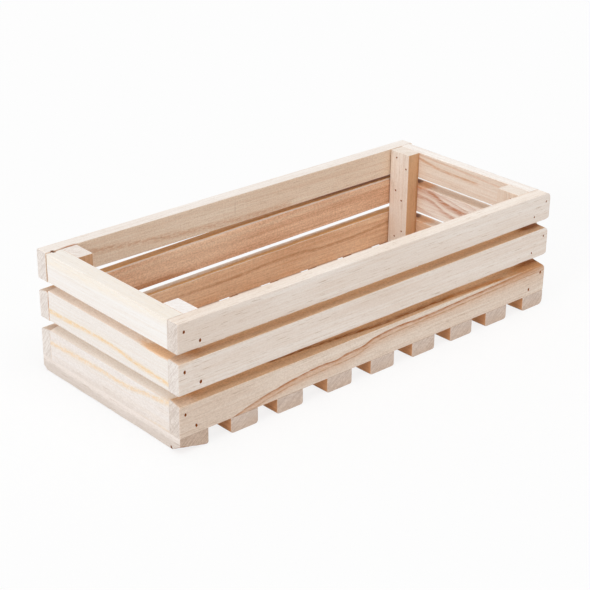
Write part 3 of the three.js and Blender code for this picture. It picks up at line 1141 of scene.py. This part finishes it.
KINDS = {
    "side": Kind(
        "side_wood", ((1, 0, 0), (0, 0, 1), (0, -1, 0)), GREY_END_GRAIN,
        Shape(corner=(1.0, 1.0)),
    ),
    "end": Kind(
        "end_wood", ((0, -1, 0), (0, 0, 1), (-1, 0, 0)), GREY_END_GRAIN,
        Shape(),
    ),
    "post": Kind(
        "post_wood", ((0, 0, 1), (0, 1, 0), (-1, 0, 0)), PALE_END_GRAIN,
        Shape(corner=(0.5, 0.5)), POST_LOOK,
    ),
    "floor": Kind(
        "floor_wood", ((0, -1, 0), (1, 0, 0), (0, 0, 1)), FOOT_END_GRAIN,
        Shape(easing=(0.5, 0.5, 1.6, 1.6), corner=(0.7, 0.7)), FLOOR_LOOK,
    ),
}
SHAPES = {
    "front_slat_top": Shape(
        easing=(0.5, 1.2, 0.5, 0.5), corner=(1.0, 4.4), seat=0.2, rough=0.5,
    ),
    "front_slat_middle": Shape(
        easing=(0.5, 1.2, 0.5, 0.5), corner=(1.0, 4.4), seat=0.2, lift=(0.0, 0.7), rough=0.5,
    ),
    "front_slat_bottom": Shape(corner=(1.0, 5.0), seat=0.1, lift=(0.0, 1.9)),
    "back_slat_top": Shape(corner=(1.0, 1.0), low=(-0.7, -1.0, -1.2, -0.7, -0.5)),
    "back_slat_middle": Shape(
        easing=(2.5, 0.5, 0.5, 0.5), corner=(1.0, 1.0), rise=(-0.95, 3.75),
        high=(-1.9, -1.2, -0.5, -1.1, -1.5), lift=(1.4, 0.0),
    ),
    "back_slat_bottom": Shape(
        easing=(0.9, 0.5, 0.5, 0.5), corner=(1.0, 1.0), seat=0.1,
        high=(-1.7, 1.1, 3.3), lift=(1.3, 0.0),
    ),
    "left_end_slat_top": Shape(trim=(1.3, 0.0)),
    "left_end_slat_middle": Shape(trim=(0.6, 0.0), lift=(0.0, 1.6)),
    "left_end_slat_bottom": Shape(easing=(0.5, 0.1, 0.5, 0.5), corner=(0.1, 0.1), lift=(0.0, 2.6)),
    "right_end_slat_top": Shape(easing=(0.5, 0.5, 0.5, 4.0), rough=0.1),
    "post_back_left": Shape(corner=(0.5, 0.5), high=(-1.1, -1.1)),
    "post_back_right": Shape(corner=(0.5, 0.5), high=(-0.8, -0.8)),
    "floor_slat_1": Shape(easing=(0.5, 0.1, 1.6, 1.6), corner=(0.5, 0.5)),
    "floor_slat_9": Shape(easing=(0.5, 0.5, 1.6, 3.0), corner=(0.7, 0.7)),
}


class Chip:
    """A torn-out spot, in mm: its point on the surface, the way out, its turn, half sizes and depth."""

    def __init__(self, point, out, spin, half_wide, half_high, depth):
        self.point = Vector(point) * MM
        self.out = Vector(out)
        self.spin = math.radians(spin)
        self.half_wide = half_wide * MM
        self.half_high = half_high * MM
        self.depth = depth * MM


CHIPS = {
    "left_end_slat_top": (Chip((-169.4, 65.0, 91.2), (0, 0, 1), 0, 1.3, 1.3, 8.0),),
    "floor_slat_1": (Chip((-175.0, -68.8, 0.8), (-1, 0, 0), 25, 1.1, 2.4, 3.5),),
}
# Corners broken off: the torn face's three points and the missing corner, in mm
BROKEN_CORNERS = {
    "floor_slat_1": (
        (((-175, -77.5, 5.8), (-151.5, -77.5, 0), (-175, -67.5, 0)), (-175, -77.5, 0)),
        (((-175, 77.5, 4.0), (-168, 77.5, 0), (-175, 71.5, 0)), (-175, 77.5, 0)),
    ),
}
# Splinters: the middle of the base and the tip, in mm
SPLINTERS = {"front_slat_middle": ((-174.8, -77.0, 41.8), (-173.8, -77.9, 38.8))}

# How far each piece's grain lies from the next one's in the noise
GRAIN_SHIFT = (17.3, 5.1, 9.7)


def cut_wood(piece, node, low, high):
    """Broken corners, nail holes and chips."""
    back = piece.matrix_world.inverted()
    turn = back.to_3x3()
    for torn, corner in BROKEN_CORNERS.get(node, ()):
        wedge = bmesh.new()
        broken_corner(wedge, [back @ (Vector(p) * MM) for p in torn], back @ (Vector(corner) * MM))
        cut(piece, wedge)
    cutter = bmesh.new()
    for nail in nails_entering(low, high):
        draw = random.Random(nail.name + "_hole")
        way = facing(turn @ nail.out, nail.spin)
        hole_prism(cutter, back @ nail.point, way, nail.wide, nail.high, NAIL_HOLE_DEPTH, draw)
    for chip in CHIPS.get(node, ()):
        draw = random.Random(node)
        way = facing(turn @ chip.out, chip.spin)
        hole_prism(cutter, back @ chip.point, way, chip.half_wide, chip.half_high, chip.depth, draw)
    if cutter.faces:
        cut(piece, cutter)
    else:
        cutter.free()


def add_wood(node, kind, seed):
    """One strip of wood in its place, with its own grain, wear and holes."""
    look = LOOKS.get(node, kind.look)
    shape = SHAPES.get(node, kind.shape)
    low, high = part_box(node)
    axes = Matrix(kind.axes).transposed().to_4x4()
    centre = (low + high) / 2
    span = high - low
    size = [abs(axes.col[i].to_3d().dot(span)) for i in range(3)]
    first, last = (r * MM for r in shape.rise)
    slant = math.atan((last - first) / size[0])
    nailed = Matrix.Translation((0, (first + last) / 2, 0)) @ Matrix.Rotation(slant, 4, "Z")
    place = Matrix.Translation(centre) @ axes @ nailed
    shift = tuple(step * seed for step in GRAIN_SHIFT)
    materials = [
        long_grain(f"{node}_grain", look, shift),
        end_grain(f"{node}_ends", look, shift, NODE_END_GRAINS.get(node, kind.end_grain)),
        TORN,
    ]
    made = strip_mesh(size, seed, shape)
    if node in SPLINTERS:
        splinter(made, *(place.inverted() @ (Vector(p) * MM) for p in SPLINTERS[node]))
    piece = to_object(made, f"{node}_wood", materials, place)
    cut_wood(piece, node, low, high)
    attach(piece, "root")
    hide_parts(node)


def build_wood():
    """All the strips, each with a seed of its own."""
    strips = [(f"{side}_slat_{row}", "side") for side in SIDES for row in ROWS]
    strips += [(f"{end}_end_slat_{row}", "end") for end in ENDS for row in ROWS]
    strips += [(f"post_{side}_{end}", "post") for side in SIDES for end in ENDS]
    strips += [(node, "floor") for node in FLOOR_NODES]
    for seed, (node, kind) in enumerate(strips, 1):
        add_wood(node, KINDS[kind], float(seed))


# Floor, light and camera

WORLD_LIGHT = 0.56
# Lamps: name, the way to it, strength and softness
LAMPS = (
    ("key", Vector((-0.95, -0.1, 0.28)), 0.83, math.radians(26)),
    ("overhead", Vector((-0.05, -0.22, 0.97)), 1.1, math.radians(60)),
    ("behind", Vector((-0.15, 0.88, 0.45)), 0.12, math.radians(90)),
)
FLOOR_SIZE = 8.0
FLOOR_WHITE_SHARE = 0.8

CAMERA_AZIMUTH = math.radians(-41.92)
CAMERA_ELEVATION = math.radians(24.78)
CAMERA_ROLL = math.radians(0.708)
CAMERA_DISTANCE = 1.1074
CAMERA_AIM = Vector((0, 0, 0.045))
CAMERA_AIM_RIGHT = -0.00761
CAMERA_AIM_UP = -0.01203
CAMERA_LENS = 93.73
CAMERA_SENSOR = 36.0


def seen_directly(tree):
    """1 for rays that see the background as it is: from the camera, a reflection or through glass."""
    path = tree.nodes.new("ShaderNodeLightPath")
    total = path.outputs["Is Camera Ray"]
    for name in ("Is Glossy Ray", "Is Transmission Ray"):
        either = tree.nodes.new("ShaderNodeMath")
        either.operation = "MAXIMUM"
        tree.links.new(total, either.inputs[0])
        tree.links.new(path.outputs[name], either.inputs[1])
        total = either.outputs[0]
    return total


def add_floor():
    """A pale floor that fades into the white background."""
    made = bmesh.new()
    half = FLOOR_SIZE / 2
    corners = ((-half, -half), (half, -half), (half, half), (-half, half))
    made.faces.new([made.verts.new((x, y, 0)) for x, y in corners])
    shade = Shade("pale_floor")
    tree = shade.tree
    material = shade.finish(srgb(246, 246, 246), roughness=0.9, specular=0.0)
    white = shade.add("ShaderNodeEmission")
    share = shade.math("MULTIPLY", seen_directly(tree), FLOOR_WHITE_SHARE)
    surfaces = {0: share, 1: shade.bsdf.outputs[0], 2: white.outputs[0]}
    blend = shade.add("ShaderNodeMixShader", surfaces)
    tree.links.new(blend.outputs[0], tree.nodes["Material Output"].inputs["Surface"])
    floor = to_object(made, "floor", [material])


def add_light():
    """White surroundings and three soft lamps."""
    world = bpy.data.worlds.new("studio")
    bpy.context.scene.world = world
    world.use_nodes = True
    tree = world.node_tree
    background = tree.nodes["Background"]
    background.inputs["Color"].default_value = (1.0, 1.0, 1.0, 1.0)
    level = tree.nodes.new("ShaderNodeMapRange")
    level.inputs["To Min"].default_value = WORLD_LIGHT
    level.inputs["To Max"].default_value = 1.0
    tree.links.new(seen_directly(tree), level.inputs["Value"])
    tree.links.new(level.outputs["Result"], background.inputs["Strength"])
    for name, source, energy, softness in LAMPS:
        lamp = bpy.data.lights.new(name, "SUN")
        lamp.energy = energy
        lamp.angle = softness
        holder = bpy.data.objects.new(name, lamp)
        holder.rotation_mode = "QUATERNION"
        holder.rotation_quaternion = source.to_track_quat("Z", "Y")
        bpy.context.scene.collection.objects.link(holder)


def add_camera():
    """The camera, at the side and height that the object is seen from."""
    level = math.cos(CAMERA_ELEVATION)
    back = Vector((
        math.sin(CAMERA_AZIMUTH) * level,
        -math.cos(CAMERA_AZIMUTH) * level,
        math.sin(CAMERA_ELEVATION),
    ))
    right = Vector((math.cos(CAMERA_AZIMUTH), math.sin(CAMERA_AZIMUTH), 0))
    up = back.cross(right)
    roll = Matrix.Rotation(CAMERA_ROLL, 3, back)
    right = roll @ right
    up = roll @ up
    place = CAMERA_AIM + CAMERA_AIM_RIGHT * right + CAMERA_AIM_UP * up + CAMERA_DISTANCE * back
    lens = bpy.data.cameras.new("camera")
    lens.lens = CAMERA_LENS
    lens.sensor_width = CAMERA_SENSOR
    camera = bpy.data.objects.new("camera", lens)
    camera.matrix_world = Matrix.Translation(place) @ Matrix((right, up, back)).transposed().to_4x4()
    bpy.context.scene.collection.objects.link(camera)
    bpy.context.scene.camera = camera


build_wood()
add_nails()
add_floor()
add_light()
add_camera()
